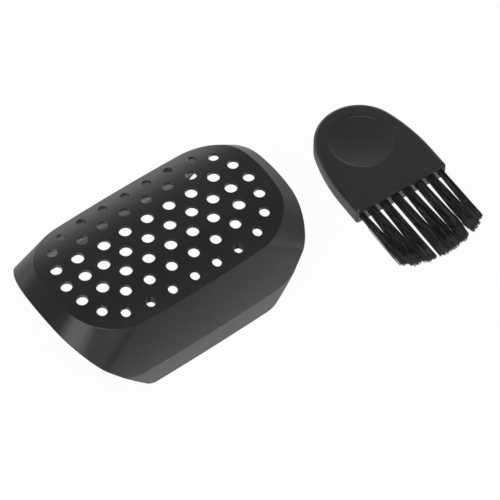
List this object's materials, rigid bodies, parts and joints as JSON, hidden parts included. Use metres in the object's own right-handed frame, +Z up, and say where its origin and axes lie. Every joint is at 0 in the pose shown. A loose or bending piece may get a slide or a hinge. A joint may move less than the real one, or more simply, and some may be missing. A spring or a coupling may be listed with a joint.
{
  "type": "shaver cap and cleaning brush",
  "caption": "Accessory set of a foil shaver: a perforated protective cap with open slanting ends, lying open side down, and a small flat cleaning brush beside it.",
  "frame": {"origin": "middle of the set's outline in plan, on the surface that both pieces lie on", "axes": "+X along the cap towards the brush, +Y from the cap's front wall to its back wall, +Z up from the surface through the cap's perforated panel"},
  "size_m": [0.0878, 0.0438, 0.0189],
  "materials": {
    "cap_plastic": "fine moulded grain, dark grey",
    "brush_plastic": "fine moulded grain, black",
    "bristle_nylon": "black nylon filament",
    "anchor_wire": "flattened wire"
  },
  "bodies": {
    "root": {"protective_cap": "cap_plastic", "brush_handle": "brush_plastic", "bristle_tuft_1": "bristle_nylon", "bristle_tuft_2": "bristle_nylon", "bristle_tuft_3": "bristle_nylon", "bristle_tuft_4": "bristle_nylon", "bristle_tuft_5": "bristle_nylon", "bristle_tuft_6": "bristle_nylon", "bristle_tuft_7": "bristle_nylon", "bristle_tuft_8": "bristle_nylon", "tuft_anchor_1": "anchor_wire", "tuft_anchor_2": "anchor_wire", "tuft_anchor_3": "anchor_wire", "tuft_anchor_4": "anchor_wire", "tuft_anchor_5": "anchor_wire", "tuft_anchor_6": "anchor_wire", "tuft_anchor_7": "anchor_wire", "tuft_anchor_8": "anchor_wire"}
  },
  "joints": []
}
